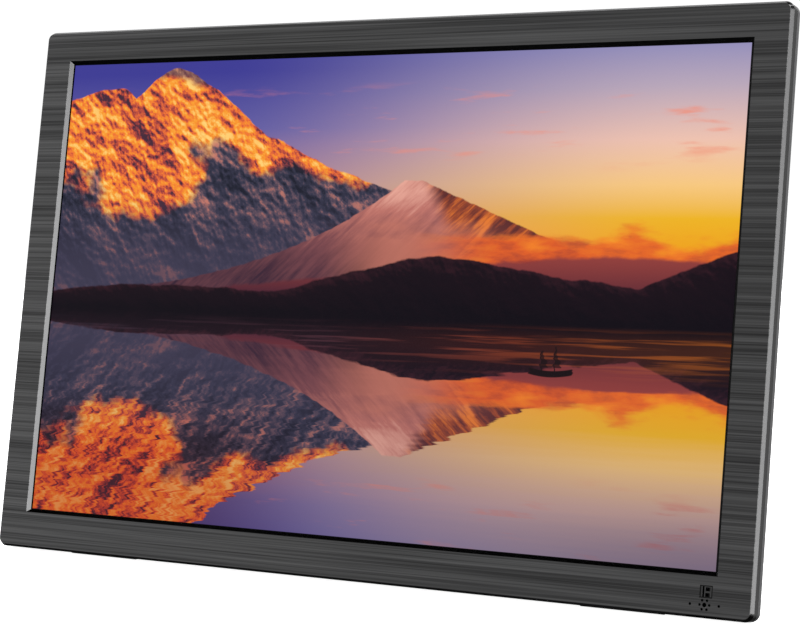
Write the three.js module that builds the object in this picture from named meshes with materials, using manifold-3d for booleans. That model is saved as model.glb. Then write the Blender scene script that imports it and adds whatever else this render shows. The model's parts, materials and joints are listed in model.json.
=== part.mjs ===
// A 17-inch digital photo frame that leans back on a folding rear leg. Millimetres.
//
// Everything is drawn in the panel's own axes: X to the right, Y from the front face to the back, Z up
// from the bottom edge. The panel group then leans back, and the leg group swings out from it, so that
// the rubber pads and the leg's shoe stand on the floor, Z = 0.
import * as THREE from "three";
import { mergeVertices } from "three/addons/utils/BufferGeometryUtils.js";
import Module from "manifold-3d";

const wasm = await Module();
wasm.setup();

// ---------------------------------------------------------------- driving dimensions
const LEAN = THREE.MathUtils.degToRad(10);
const GAP = 0.3; // between neighbouring pieces
const FILM_GAP = 0.2; // between the sheets of the display stack

// Front frame
const WINDOW_W = 368;
const WINDOW_H = 230;
const BORDER_SIDE = 15.3;
const BORDER_TOP = 14.5;
const BORDER_BOTTOM = 16.9;
const BEVEL = 1.5; // around the window, measured across the face
const BEVEL_DEPTH = 1.8;
const CHAMFER = 1.2; // around the outline, measured across the face
const CHAMFER_DEPTH = 2;
const CORNER_RADIUS = 4.2;
const FACE_THICKNESS = 2.2;
const SKIRT = 1.8; // side wall thickness
const SEAM = 6; // depth at which the front frame meets the rear cover

// Rear cover
const EDGE_DEPTH = 11;
const EDGE_ROUND = 1.6;
const FLANGE = 1.7;
const WALL = 2.2;
const BACK = 24; // depth of the housing's rear face
const HOUSING_W = 316; // rear face of the raised housing
const HOUSING_H = 182;
const HOUSING_SLOPE = 12; // how far the sloping sides spread

// Stand
const HINGE_Y = 20.2;
const HINGE_Z = 190;
const LEG_OPEN = THREE.MathUtils.degToRad(20); // between the folded leg and the open one
const LEG_TOP_W = 100;
const LEG_FOOT_W = 76;
const LEG_THICKNESS = 4;
const BARREL_RADIUS = 3.3;
const PIN_RADIUS = 1.7;
const SHOE_H = 6;
const PAD_PROUD = 0.15; // how far the rubber pads stand below the rear cover's lowest edge

// Keys on the rear face
const KEY_NAMES = ["ok", "down", "right", "left", "up", "menu", "power"];
const KEY_X = 140;
const KEY_FIRST_Z = 92;
const KEY_PITCH = 14;
const KEY_W = 9;
const KEY_H = 6;
const KEY_PROUD = 1.2;
const KEY_LAST_Z = KEY_FIRST_Z + (KEY_NAMES.length - 1) * KEY_PITCH;
const KEY_BOARD = { x: [133, 147], y: [13, 14.6] };
const KEY_BOARD_SCREWS = [KEY_FIRST_Z - 7, KEY_LAST_Z + 7];

// Main board, which stands behind the display on the tray's standoffs
const BOARD = { x: [-147.6, -74], y: [11, 12.6], z: [78, 188] };

// Worked out from the above
const FRAME_W = WINDOW_W + 2 * (BEVEL + BORDER_SIDE + CHAMFER);
const FRAME_H = WINDOW_H + 2 * (BEVEL + CHAMFER) + BORDER_TOP + BORDER_BOTTOM;
const MID_Z = FRAME_H / 2;
const WINDOW_Z = CHAMFER + BORDER_BOTTOM + BEVEL + WINDOW_H / 2; // window centre
const FLANGE_INSIDE = EDGE_DEPTH - FLANGE;
const HALF_W = FRAME_W / 2;
const OUTLINE_SEGMENTS = 10; // in each rounded corner of the outline

// ---------------------------------------------------------------- materials
const finish = (color, roughness, metalness) =>
  new THREE.MeshStandardMaterial({ color, roughness, metalness });

const MATERIALS = {
  brushedMetal: finish(0x4a4a4b, 0.38, 0.9),
  smokedWindow: finish(0x0a0a0c, 0.15, 0.0),
  display: finish(0x5a4a6a, 0.25, 0.0),
  blackPlastic: finish(0x1d1d1f, 0.6, 0.0),
  moduleFrame: finish(0x141416, 0.55, 0.0),
  film: finish(0xe8ecef, 0.3, 0.0),
  lightGuide: finish(0xdfe9ee, 0.1, 0.0),
  reflector: finish(0xf4f4f2, 0.5, 0.0),
  steel: finish(0xa8abad, 0.35, 1.0),
  aluminium: finish(0xb9bcc0, 0.4, 1.0),
  circuitBoard: finish(0x1c5a38, 0.5, 0.0),
  ribbon: finish(0xd9d6c8, 0.5, 0.0),
  connector: finish(0x202022, 0.5, 0.1),
  speakerCone: finish(0x2a2a2c, 0.8, 0.0),
  rubber: finish(0x101010, 0.9, 0.0),
  keyPlastic: finish(0x2a2a2d, 0.45, 0.0),
  screwBlack: finish(0x2b2b2d, 0.4, 0.9),
};

// ---------------------------------------------------------------- solids
function toSolid(geometry) {
  const bare = new THREE.BufferGeometry().setAttribute(
    "position",
    (geometry.index ? geometry.toNonIndexed() : geometry).getAttribute("position"),
  );
  const merged = mergeVertices(bare, 1e-4);
  return new wasm.Manifold(
    new wasm.Mesh({
      numProp: 3,
      vertProperties: merged.attributes.position.array,
      triVerts: new Uint32Array(merged.index.array),
    }),
  );
}

const join = (...solids) => solids.reduce((all, s) => all.add(s));
const cut = (solid, ...tools) => tools.reduce((left, t) => left.subtract(t), solid);

function toGeometry(solid) {
  const mesh = solid.getMesh();
  const positions = new Float32Array(mesh.numVert * 3);
  for (let i = 0; i < mesh.numVert; i++) {
    const start = i * mesh.numProp;
    positions.set(mesh.vertProperties.subarray(start, start + 3), i * 3);
  }
  return new THREE.BufferGeometry()
    .setAttribute("position", new THREE.BufferAttribute(positions, 3))
    .setIndex(new THREE.BufferAttribute(mesh.triVerts, 1));
}

// A box given by its two limits along each axis.
function box([x0, x1], [y0, y1], [z0, z1]) {
  const geometry = new THREE.BoxGeometry(x1 - x0, y1 - y0, z1 - z0);
  geometry.translate((x0 + x1) / 2, (y0 + y1) / 2, (z0 + z1) / 2);
  return toSolid(geometry);
}

// A round bar along Y, from depth y0 to depth y1.
function post(radius, x, z, [y0, y1], sides = 12) {
  const geometry = new THREE.CylinderGeometry(radius, radius, y1 - y0, sides);
  geometry.translate(x, (y0 + y1) / 2, z);
  return toSolid(geometry);
}

// A round bar along X.
function bar(radius, [x0, x1], y, z, sides = 20) {
  const geometry = new THREE.CylinderGeometry(radius, radius, x1 - x0, sides);
  geometry.rotateZ(Math.PI / 2);
  geometry.translate((x0 + x1) / 2, y, z);
  return toSolid(geometry);
}

function roundedRectangle(width, height, radius, x = 0, z = 0) {
  const [w, h] = [width / 2, height / 2];
  const shape = new THREE.Shape();
  shape.moveTo(x - w + radius, z - h);
  shape.lineTo(x + w - radius, z - h);
  shape.absarc(x + w - radius, z - h + radius, radius, -Math.PI / 2, 0);
  shape.lineTo(x + w, z + h - radius);
  shape.absarc(x + w - radius, z + h - radius, radius, 0, Math.PI / 2);
  shape.lineTo(x - w + radius, z + h);
  shape.absarc(x - w + radius, z + h - radius, radius, Math.PI / 2, Math.PI);
  shape.lineTo(x - w, z - h + radius);
  shape.absarc(x - w + radius, z - h + radius, radius, Math.PI, Math.PI * 1.5);
  return shape;
}

function polygon(points) {
  return new THREE.Shape(points.map(([a, b]) => new THREE.Vector2(a, b)));
}

function rectangle(width, height, x = 0, z = 0) {
  const [w, h] = [width / 2, height / 2];
  return polygon([[x - w, z - h], [x + w, z - h], [x + w, z + h], [x - w, z + h]]);
}

// A slab of an outline in X and Z, between two depths. An edge grows the outline by size over the first
// and the last depth millimetres, in straight or rounded steps.
function slab(shape, [y0, y1], edge = null, curveSegments = 4) {
  const bevel = edge ?? { depth: 0, size: 0, steps: 0 };
  const geometry = new THREE.ExtrudeGeometry(shape, {
    depth: y1 - y0 - 2 * bevel.depth,
    curveSegments,
    bevelEnabled: edge !== null,
    bevelThickness: bevel.depth,
    bevelSize: bevel.size,
    bevelSegments: bevel.steps,
  });
  geometry.rotateX(Math.PI / 2);
  geometry.translate(0, y1 - bevel.depth, 0);
  return toSolid(geometry);
}

// A bar whose section is an outline in Y and Z, along X.
function profileBar(points, [x0, x1]) {
  const geometry = new THREE.ExtrudeGeometry(polygon(points), {
    depth: x1 - x0,
    bevelEnabled: false,
  });
  geometry.applyMatrix4(
    new THREE.Matrix4().makeBasis(
      new THREE.Vector3(0, 1, 0),
      new THREE.Vector3(0, 0, 1),
      new THREE.Vector3(1, 0, 0),
    ),
  );
  geometry.translate(x0, 0, 0);
  return toSolid(geometry);
}

const mirrored = (side, [a, b]) => (side < 0 ? [-b, -a] : [a, b]);

// ---------------------------------------------------------------- the groups
const frame = new THREE.Group();
const panel = new THREE.Group();
const stand = new THREE.Group();
frame.add(panel);
panel.add(stand);

function add(name, solid, material, parent = panel) {
  const mesh = new THREE.Mesh(toGeometry(solid), material);
  mesh.name = name;
  parent.add(mesh);
}

// ---------------------------------------------------------------- fastener places
const COVER_SCREW_X = 195.8;
const COVER_SCREWS = [
  ["top", FRAME_H - 19.8],
  ["middle", MID_Z],
  ["bottom", 20],
];
const BRACKET_SCREW_Z = 89;
const BOARD_SCREWS = [
  [-132, 82],
  [-104, 184],
];
const SHANK_RADIUS = 1.15;
const HOLE_RADIUS = SHANK_RADIUS + GAP;

// ---------------------------------------------------------------- front frame
// The sensor group sits in the lower right corner of the border: a slot beside two small windows in a
// shallow square recess, and below it a ring of six pinholes round a larger one, with one more on each side.
const SENSOR_X = 180.4;
const HOLES_Z = 5.7;
const RING_RADIUS = 2.2;
const SIDE_HOLE_OFFSET = 6.5;
const PINHOLE_RADIUS = 0.6;
const RING_CENTRE_RADIUS = 0.95;
const SENSOR_WINDOW = { x: [178, 183.4], y: [FACE_THICKNESS + GAP, 3.6], z: [8.6, 14] };
const SENSOR_BOARD = { x: [171, 190], y: [6.2, 7.4], z: [2.6, 14] };
const SENSOR_POST_X = [173.5, 187.5];
const SENSOR_RECESS = { x: [177.9, 183.7], z: [8.7, 14], depth: 0.25 };
const SENSOR_SLOT = { x: [179.1, 179.9], z: [9.1, 13.6] };
const UPPER_WINDOW = { x: [180.5, 182.6], z: [11.6, 13.2] };
const LOWER_WINDOW = { x: [180.4, 182.5], z: [9.2, 10.8] };

function pinholes() {
  const through = [-1, FACE_THICKNESS + 1];
  const hole = (x, z) => post(PINHOLE_RADIUS, x, z, through, 8);
  const ring = Array.from({ length: 6 }, (_, i) => {
    const angle = (i * Math.PI) / 3;
    return hole(SENSOR_X + RING_RADIUS * Math.cos(angle), HOLES_Z + RING_RADIUS * Math.sin(angle));
  });
  const sides = [-1, 1].map((side) => hole(SENSOR_X + side * SIDE_HOLE_OFFSET, HOLES_Z));
  return [...ring, ...sides, post(RING_CENTRE_RADIUS, SENSOR_X, HOLES_Z, through)];
}

// The recess, and in it a slot and two small windows, which the smoked window closes from behind.
function sensorOpenings() {
  const through = [-1, FACE_THICKNESS + 1];
  return [
    box(SENSOR_RECESS.x, [-1, SENSOR_RECESS.depth], SENSOR_RECESS.z),
    ...[SENSOR_SLOT, UPPER_WINDOW, LOWER_WINDOW].map(({ x, z }) => box(x, through, z)),
  ];
}

function frontFrame() {
  const face = roundedRectangle(
    FRAME_W - 2 * CHAMFER,
    FRAME_H - 2 * CHAMFER,
    CORNER_RADIUS - CHAMFER,
    0,
    MID_Z,
  );
  // The edge is made at both ends of a deeper slab, and the far end is cut away.
  const chamfer = { depth: CHAMFER_DEPTH, size: CHAMFER, steps: 1 };
  const blank = slab(face, [0, 2 * SEAM], chamfer, OUTLINE_SEGMENTS);
  const behind = box([-FRAME_W, FRAME_W], [SEAM, 3 * SEAM], [-FRAME_H, 2 * FRAME_H]);
  const inside = slab(
    roundedRectangle(FRAME_W - 2 * SKIRT, FRAME_H - 2 * SKIRT, CORNER_RADIUS - SKIRT, 0, MID_Z),
    [FACE_THICKNESS, 2 * SEAM],
    null,
    OUTLINE_SEGMENTS,
  );
  // The window's bevel meets in mitres. Its slab is widest in the middle, which lies in the face.
  const opening = rectangle(WINDOW_W, WINDOW_H, 0, WINDOW_Z);
  const window = slab(opening, [-1, SEAM]);
  const flare = { depth: BEVEL_DEPTH, size: BEVEL, steps: 1 };
  const bevel = slab(opening, [-BEVEL_DEPTH - 1, BEVEL_DEPTH], flare);
  const bosses = [-1, 1].flatMap((side) => [
    ...COVER_SCREWS.map(([, z]) => ({ x: side * COVER_SCREW_X, z })),
    { x: side * COVER_SCREW_X, z: BRACKET_SCREW_Z },
  ]);
  const posts = bosses.map(({ x, z }) => post(3, x, z, [FACE_THICKNESS - 0.5, SEAM]));
  const holes = bosses.map(({ x, z }) => post(HOLE_RADIUS, x, z, [FACE_THICKNESS + 0.4, SEAM + 1], 10));
  const postSpan = [FACE_THICKNESS - 0.5, SENSOR_BOARD.y[0] - GAP];
  const sensorPosts = SENSOR_POST_X.map((x) => post(1.3, x, 11.4, postSpan, 10));
  const shell = cut(blank, behind, inside, window, bevel, ...sensorOpenings(), ...pinholes());
  return cut(join(shell, ...posts, ...sensorPosts), ...holes);
}

add("front_frame", frontFrame(), MATERIALS.brushedMetal);

add(
  "sensor_window",
  box(SENSOR_WINDOW.x, SENSOR_WINDOW.y, SENSOR_WINDOW.z),
  MATERIALS.smokedWindow,
);

// ---------------------------------------------------------------- display module
const MODULE_W = 382.2;
const MODULE_BOTTOM = 14.4;
const MODULE_TOP = 257;
const TRAY_BACK = 7.6;
const TRAY_SHEET = 0.5;
const CELL = { w: 373, h: 235.2, y: [2.5, 3.7] };

// The sheets behind the glass, front to back: name, thickness, material.
const SHEETS = [
  ["prism_sheet", 0.3, MATERIALS.film],
  ["diffuser_sheet", 0.3, MATERIALS.film],
  ["light_guide", 1.6, MATERIALS.lightGuide],
  ["reflector_sheet", 0.2, MATERIALS.reflector],
];
const SHEET_W = 370.6;
const SHEET_BOTTOM = 19.4;
const SHEET_TOP = 251;
const LED_BAR_H = 3;

function sheet(y0, y1) {
  return box([-SHEET_W / 2, SHEET_W / 2], [y0, y1], [SHEET_BOTTOM, SHEET_TOP]);
}

add(
  "lcd_cell",
  box([-CELL.w / 2, CELL.w / 2], CELL.y, [WINDOW_Z - CELL.h / 2, WINDOW_Z + CELL.h / 2]),
  MATERIALS.display,
);

let sheetFront = CELL.y[1] + FILM_GAP;
for (const [name, thickness, material] of SHEETS) {
  add(name, sheet(sheetFront, sheetFront + thickness), material);
  sheetFront += thickness + FILM_GAP;
}

// The moulded frame: a ring that the glass sits in and the sheets lie behind.
function panelFrame() {
  const edge = TRAY_SHEET + GAP;
  const ring = box(
    [-MODULE_W / 2 + edge, MODULE_W / 2 - edge],
    [CELL.y[0], 6.7],
    [MODULE_BOTTOM + edge, MODULE_TOP - edge],
  );
  const glassSeat = box(
    [-CELL.w / 2 - GAP, CELL.w / 2 + GAP],
    [0, 6],
    [WINDOW_Z - CELL.h / 2 - GAP, WINDOW_Z + CELL.h / 2 + GAP],
  );
  const through = box([-186, 186], [0, 10], [SHEET_BOTTOM - LED_BAR_H - 1.2, SHEET_TOP + 1]);
  return cut(ring, glassSeat, through);
}

add("panel_frame", panelFrame(), MATERIALS.moduleFrame);

function ledBar() {
  const front = CELL.y[1] + 3 * FILM_GAP + 0.6;
  const height = [SHEET_BOTTOM - LED_BAR_H - 0.6, SHEET_BOTTOM - 1.6];
  const board = box([-180, 180], [front, front + 1.6], height);
  const lamps = Array.from({ length: 24 }, (_, i) => {
    const x = -172.5 + i * 15;
    return box([x - 2, x + 2], [front + 0.3, front + 1.3], [SHEET_BOTTOM - 1.8, SHEET_BOTTOM - 0.6]);
  });
  return join(board, ...lamps);
}

add("led_bar", ledBar(), MATERIALS.aluminium);

function backlightTray() {
  const outer = box([-MODULE_W / 2, MODULE_W / 2], [3.2, TRAY_BACK], [MODULE_BOTTOM, MODULE_TOP]);
  const inner = box(
    [-MODULE_W / 2 + TRAY_SHEET, MODULE_W / 2 - TRAY_SHEET],
    [0, TRAY_BACK - TRAY_SHEET],
    [MODULE_BOTTOM + TRAY_SHEET, MODULE_TOP - TRAY_SHEET],
  );
  const places = [
    ...BOARD_SCREWS.map(([x, z]) => [x, z, BOARD.y[0] - GAP]),
    ...KEY_BOARD_SCREWS.map((z) => [KEY_X, z, KEY_BOARD.y[0] - GAP]),
  ];
  const standoffs = places.map(([x, z, top]) => post(2.6, x, z, [TRAY_BACK - 0.3, top]));
  const holes = places.map(([x, z, top]) => post(HOLE_RADIUS, x, z, [TRAY_BACK, top + 1], 10));
  return cut(join(cut(outer, inner), ...standoffs), ...holes);
}

add("backlight_tray", backlightTray(), MATERIALS.steel);

const BRACKET_BACK = SEAM + GAP + 1;

function panelBracket(side) {
  const inner = MODULE_W / 2 + GAP;
  const web = box(mirrored(side, [inner, inner + 1]), [3.2, BRACKET_BACK], [60, 118]);
  const foot = box(mirrored(side, [inner, 199.8]), [SEAM + GAP, BRACKET_BACK], [60, 118]);
  const hole = post(HOLE_RADIUS, side * COVER_SCREW_X, BRACKET_SCREW_Z, [4, 9], 10);
  return cut(join(web, foot), hole);
}

for (const [name, side] of [["left", -1], ["right", 1]]) {
  add(`panel_bracket_${name}`, panelBracket(side), MATERIALS.steel);
}

// ---------------------------------------------------------------- electronics
const PORT_FACE = -150; // outer face of the wall that the ports come through
const PORT_WALL = 2;
const BAY_Z = [72, 196]; // the port bay's height
const PORT_BASE = BOARD.y[1] + GAP;

// Ports, bottom to top: name, centre height, width along Z, depth along Y.
const PORTS = {
  dc_jack: { z: 88, w: 9, d: 7.4 },
  audio_jack: { z: 104, w: 7, d: 5.6 },
  hdmi_port: { z: 123, w: 15, d: 5.6 },
  usb_port: { z: 146, w: 13.2, d: 6 },
  card_slot: { z: 173, w: 27, d: 3.2 },
};

add("panel_driver_board", box([-100, 100], [8.2, 9.4], [38, 56]), MATERIALS.circuitBoard);

// A flat cable from the driver board up on to the main board, in one S-shaped sweep.
function displayCable() {
  const top = [[9.7, 44], [9.7, 62], [13.3, 72], [13.3, 92]];
  const thickness = 0.4;
  const under = top.map(([y, z]) => [y + thickness, z]).reverse();
  return profileBar([...top, ...under], [-94, -77]);
}

add("display_cable", displayCable(), MATERIALS.ribbon);

function mainBoard() {
  const board = box(BOARD.x, BOARD.y, BOARD.z);
  const chips = [
    box([-100, -86], [12.4, 13.8], [108, 122]),
    box([-84, -76], [12.4, 13.6], [140, 154]),
    box([-126, -116], [12.4, 15.4], [94, 106]),
  ];
  const cableSeat = box([-96, -75], [12.4, 13], [82, 94]);
  const capacitors = [170, 181].map((z) => post(4, -80, z, [12.4, 18.4], 12));
  const holes = BOARD_SCREWS.map(([x, z]) => post(HOLE_RADIUS, x, z, [10, 14], 10));
  return cut(join(board, ...chips, cableSeat, ...capacitors), ...holes);
}

add("main_board", mainBoard(), MATERIALS.circuitBoard);

function heatsink() {
  const [x0, x1] = [-116, -88];
  const base = box([x0, x1], [PORT_BASE, PORT_BASE + 1.5], [134, 162]);
  const fins = Array.from({ length: 6 }, (_, i) => {
    const x = x0 + 5.2 * i;
    return box([x, x + 2], [PORT_BASE + 1, PORT_BASE + 5.5], [134, 162]);
  });
  return join(base, ...fins);
}

add("processor_heatsink", heatsink(), MATERIALS.aluminium);

// A port's shell lies on the main board with its mouth in the wall of the port bay.
function portShell({ z, w, d }, mouth, length = 13) {
  const shell = box([PORT_FACE, PORT_FACE + length], [PORT_BASE, PORT_BASE + d], [z - w / 2, z + w / 2]);
  return cut(shell, ...mouth);
}

// A square-cornered mouth with a tongue standing in it.
function flatMouth({ z, w, d }, rim, depth, tongue) {
  const mouth = box(
    [PORT_FACE - 1, PORT_FACE + depth],
    [PORT_BASE + rim, PORT_BASE + d - rim],
    [z - w / 2 + rim, z + w / 2 - rim],
  );
  if (!tongue) return [mouth];
  const middle = PORT_BASE + d / 2 + tongue.offset;
  const blade = box(
    [PORT_FACE + 1, PORT_FACE + depth + 1],
    [middle - tongue.thickness / 2, middle + tongue.thickness / 2],
    [z - tongue.width / 2, z + tongue.width / 2],
  );
  return [cut(mouth, blade)];
}

function roundMouth({ z, d }, radius, depth, pinRadius) {
  const y = PORT_BASE + d / 2;
  const hole = bar(radius, [PORT_FACE - 1, PORT_FACE + depth], y, z, 16);
  if (!pinRadius) return [hole];
  return [cut(hole, bar(pinRadius, [PORT_FACE + 1, PORT_FACE + depth + 1], y, z, 10))];
}

const PORT_MOUTHS = {
  dc_jack: roundMouth(PORTS.dc_jack, 2.8, 9, 1),
  audio_jack: roundMouth(PORTS.audio_jack, 1.8, 10, 0),
  hdmi_port: flatMouth(PORTS.hdmi_port, 0.5, 9, { width: 11, thickness: 1, offset: 0.4 }),
  usb_port: flatMouth(PORTS.usb_port, 0.4, 10, { width: 11.2, thickness: 1.8, offset: -1 }),
  card_slot: flatMouth(PORTS.card_slot, 0.4, 11, null),
};
const PORT_MATERIALS = {
  dc_jack: MATERIALS.connector,
  audio_jack: MATERIALS.connector,
  hdmi_port: MATERIALS.steel,
  usb_port: MATERIALS.steel,
  card_slot: MATERIALS.steel,
};

for (const [name, port] of Object.entries(PORTS)) {
  add(name, portShell(port, PORT_MOUTHS[name]), PORT_MATERIALS[name]);
}

const SPEAKER = { x: 119, z: 60, w: 46, h: 22, y: [12, 20.6] };

function speaker(side) {
  const { x, z, w, h, y } = SPEAKER;
  const centre = side * x;
  const basket = box([centre - w / 2, centre + w / 2], y, [z - h / 2, z + h / 2]);
  const cone = new THREE.CylinderGeometry(9, 4, 4.4, 20);
  cone.translate(centre, y[1] - 1.8, z);
  const dome = new THREE.SphereGeometry(3.4, 12, 6);
  dome.translate(centre, y[1] - 5, z);
  return join(cut(basket, toSolid(cone)), toSolid(dome));
}

for (const [name, side] of [["left", -1], ["right", 1]]) {
  add(`speaker_${name}`, speaker(side), MATERIALS.speakerCone);
}

add("sensor_board", box(SENSOR_BOARD.x, SENSOR_BOARD.y, SENSOR_BOARD.z), MATERIALS.circuitBoard);
add(
  "infrared_receiver",
  box([178.4, 182.9], [SENSOR_WINDOW.y[1] + GAP, SENSOR_BOARD.y[0] - GAP], [9.3, 13.7]),
  MATERIALS.connector,
);

// ---------------------------------------------------------------- keys
const KEY_SEAT = 19.9; // underside of a key at rest
const keyZ = (i) => KEY_FIRST_Z + i * KEY_PITCH;

// The board carries one push switch under each key.
function keyBoard() {
  const board = box(KEY_BOARD.x, KEY_BOARD.y, [KEY_FIRST_Z - 11, KEY_LAST_Z + 11]);
  const switches = KEY_NAMES.map((_, i) => {
    const z = keyZ(i);
    const can = box([KEY_X - 3, KEY_X + 3], [KEY_BOARD.y[1] - 0.2, 17.8], [z - 3, z + 3]);
    return join(can, post(1.7, KEY_X, z, [17.6, 19], 10));
  });
  const holes = KEY_BOARD_SCREWS.map((z) => post(HOLE_RADIUS, KEY_X, z, [12, 16], 10));
  return cut(join(board, ...switches), ...holes);
}

add("key_board", keyBoard(), MATERIALS.circuitBoard);

function keyCap(z) {
  const outline = roundedRectangle(KEY_W - 1, KEY_H - 1, 2.4, KEY_X, z);
  const edge = { depth: 0.5, size: 0.5, steps: 1 };
  const cap = slab(outline, [KEY_SEAT + 0.6, BACK + KEY_PROUD], edge, 3);
  const collar = box([KEY_X - 5.4, KEY_X + 5.4], [KEY_SEAT, KEY_SEAT + 1.2], [z - 4, z + 4]);
  return join(cap, collar);
}

KEY_NAMES.forEach((name, i) => {
  add(`button_${name}`, keyCap(keyZ(i)), MATERIALS.keyPlastic);
});

// ---------------------------------------------------------------- stand
// The floor, seen from the panel: a point's height over it is z cos(LEAN) - y sin(LEAN) - FLOOR.
const LOWEST_EDGE =
  (EDGE_ROUND - EDGE_ROUND * Math.cos(LEAN)) * Math.cos(LEAN) -
  (EDGE_DEPTH - EDGE_ROUND + EDGE_ROUND * Math.sin(LEAN)) * Math.sin(LEAN);
const FLOOR = LOWEST_EDGE - PAD_PROUD;
const floorAt = (y) => (FLOOR + y * Math.sin(LEAN)) / Math.cos(LEAN);
const HINGE_HEIGHT = HINGE_Z * Math.cos(LEAN) - HINGE_Y * Math.sin(LEAN) - FLOOR;
const LEG_SLANT = LEG_OPEN - LEAN; // between the open leg and the vertical
const LEG_REACH = HINGE_HEIGHT / Math.cos(LEG_SLANT); // from the hinge axis to the floor

// The leg is drawn folded, with the hinge axis as its origin.
const LEG_BACK = 3.2;
const LEG_FRONT = LEG_BACK - LEG_THICKNESS;
const LEG_END = -LEG_REACH + SHOE_H + GAP;
const RECESS_FLOOR = 16.4;
// The leg's heel stands above the hinge, and stops against the recess floor when the leg is open.
const HEEL = (HINGE_Y - RECESS_FLOOR - GAP + LEG_FRONT * Math.cos(LEG_OPEN)) / Math.sin(LEG_OPEN);

function standLeg() {
  const [top, foot] = [LEG_TOP_W / 2, LEG_FOOT_W / 2];
  const corner = 3;
  const outline = polygon([
    [-top, HEEL],
    [-top, -12],
    [-foot, LEG_END + corner],
    [-foot + corner, LEG_END],
    [foot - corner, LEG_END],
    [foot, LEG_END + corner],
    [top, -12],
    [top, HEEL],
  ]);
  const plate = slab(outline, [LEG_FRONT, LEG_BACK]);
  const barrel = bar(BARREL_RADIUS, [-top, top], 0, 0);
  const bore = bar(PIN_RADIUS + GAP, [-top - 1, top + 1], 0, 0);
  // A shallow hollow in the outer face leaves a raised rim, and a scoop near the foot takes a finger.
  const hollow = slab(
    polygon([[-top + 9, -14], [-foot + 9, LEG_END + 34], [foot - 9, LEG_END + 34], [top - 9, -14]]),
    [LEG_BACK - 0.8, LEG_BACK + 1],
  );
  const scoop = slab(roundedRectangle(34, 12, 5.9, 0, LEG_END + 16), [LEG_BACK - 1.6, LEG_BACK + 1]);
  return cut(join(plate, barrel), bore, hollow, scoop);
}

function standShoe() {
  const reachAt = (y) => -LEG_REACH - y * Math.tan(LEG_SLANT);
  const top = LEG_END - GAP;
  const half = LEG_FOOT_W / 2 - 1;
  return profileBar(
    [[LEG_FRONT, top], [LEG_FRONT, reachAt(LEG_FRONT)], [LEG_BACK, reachAt(LEG_BACK)], [LEG_BACK, top]],
    [-half, half],
  );
}

stand.position.set(0, HINGE_Y, HINGE_Z);
stand.rotation.x = LEG_OPEN;
add("stand_leg", standLeg(), MATERIALS.blackPlastic, stand);
add("stand_shoe", standShoe(), MATERIALS.rubber, stand);

const EAR = [LEG_TOP_W / 2 + 1.5, LEG_TOP_W / 2 + 4.5];
const HINGE_SCREW_X = 61;

add("stand_pin", bar(PIN_RADIUS, [-EAR[1] - 1, EAR[1] + 1], HINGE_Y, HINGE_Z), MATERIALS.steel);

function hingeBracket(side) {
  const base = RECESS_FLOOR + GAP;
  const [z0, z1] = [HINGE_Z - 7, HINGE_Z + 7];
  const tab = box(mirrored(side, [EAR[0], 66]), [base, base + 1.8], [z0, z1]);
  const ear = box(mirrored(side, EAR), [base, HINGE_Y], [HINGE_Z - 3.6, HINGE_Z + 3.6]);
  const tip = bar(3.6, mirrored(side, EAR), HINGE_Y, HINGE_Z);
  const bore = bar(PIN_RADIUS + GAP, mirrored(side, [EAR[0] - 1, EAR[1] + 1]), HINGE_Y, HINGE_Z);
  const hole = post(HOLE_RADIUS, side * HINGE_SCREW_X, HINGE_Z, [base - 1, base + 3], 10);
  return cut(join(tab, ear, tip), bore, hole);
}

for (const [name, side] of [["left", -1], ["right", 1]]) {
  add(`hinge_bracket_${name}`, hingeBracket(side), MATERIALS.steel);
}

// Rubber pads, let into the rear cover's bottom edge, with undersides that lie flat on the floor.
const PAD = { x: [120, 160], y: [7.2, 9.4], top: 1.6 };

for (const [name, side] of [["left", -1], ["right", 1]]) {
  const [y0, y1] = PAD.y;
  const section = [[y0, PAD.top], [y0, floorAt(y0)], [y1, floorAt(y1)], [y1, PAD.top]];
  add(`foot_pad_${name}`, profileBar(section, mirrored(side, PAD.x)), MATERIALS.rubber);
}

// ---------------------------------------------------------------- rear cover
const KEYHOLE = { x: 110, z: 208, head: 4.5, slot: 2.3, rise: 10 };

function housingBlock(width, height, slope, back, round) {
  const shape = roundedRectangle(width, height, round, 0, MID_Z);
  const depth = back - EDGE_DEPTH;
  return slab(shape, [EDGE_DEPTH - depth - 2, back], { depth, size: slope, steps: 1 }, 4);
}

function keyhole(side) {
  const { x, z, head, slot, rise } = KEYHOLE;
  const through = [BACK - WALL - 1, BACK + 1];
  const centre = side * x;
  return join(
    post(head, centre, z, through, 20),
    post(slot, centre, z + rise, through, 12),
    box([centre - slot, centre + slot], through, [z, z + rise]),
  );
}

function ventSlots() {
  const row = (x, z) => box([x - 1, x + 1], [BACK - WALL - 1, BACK + 1], [z, z + 16]);
  return Array.from({ length: 17 }, (_, i) => row(-48 + 6 * i, 203));
}

function speakerSlots(side) {
  return Array.from({ length: 7 }, (_, i) => {
    const x = side * SPEAKER.x - 12 + 4 * i;
    return box([x - 0.9, x + 0.9], [BACK - WALL - 1, BACK + 1], [SPEAKER.z - 8, SPEAKER.z + 8]);
  });
}

function portCutouts() {
  return Object.values(PORTS).map(({ z, w, d }) =>
    box(
      [PORT_FACE - 1, PORT_FACE + PORT_WALL + 1],
      [PORT_BASE - GAP, PORT_BASE + d + GAP],
      [z - w / 2 - GAP, z + w / 2 + GAP],
    ),
  );
}

function screwWell(x, z) {
  return join(
    post(2.7, x, z, [FLANGE_INSIDE - 0.3, EDGE_DEPTH + 1]),
    post(HOLE_RADIUS, x, z, [SEAM, EDGE_DEPTH], 10),
  );
}

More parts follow.
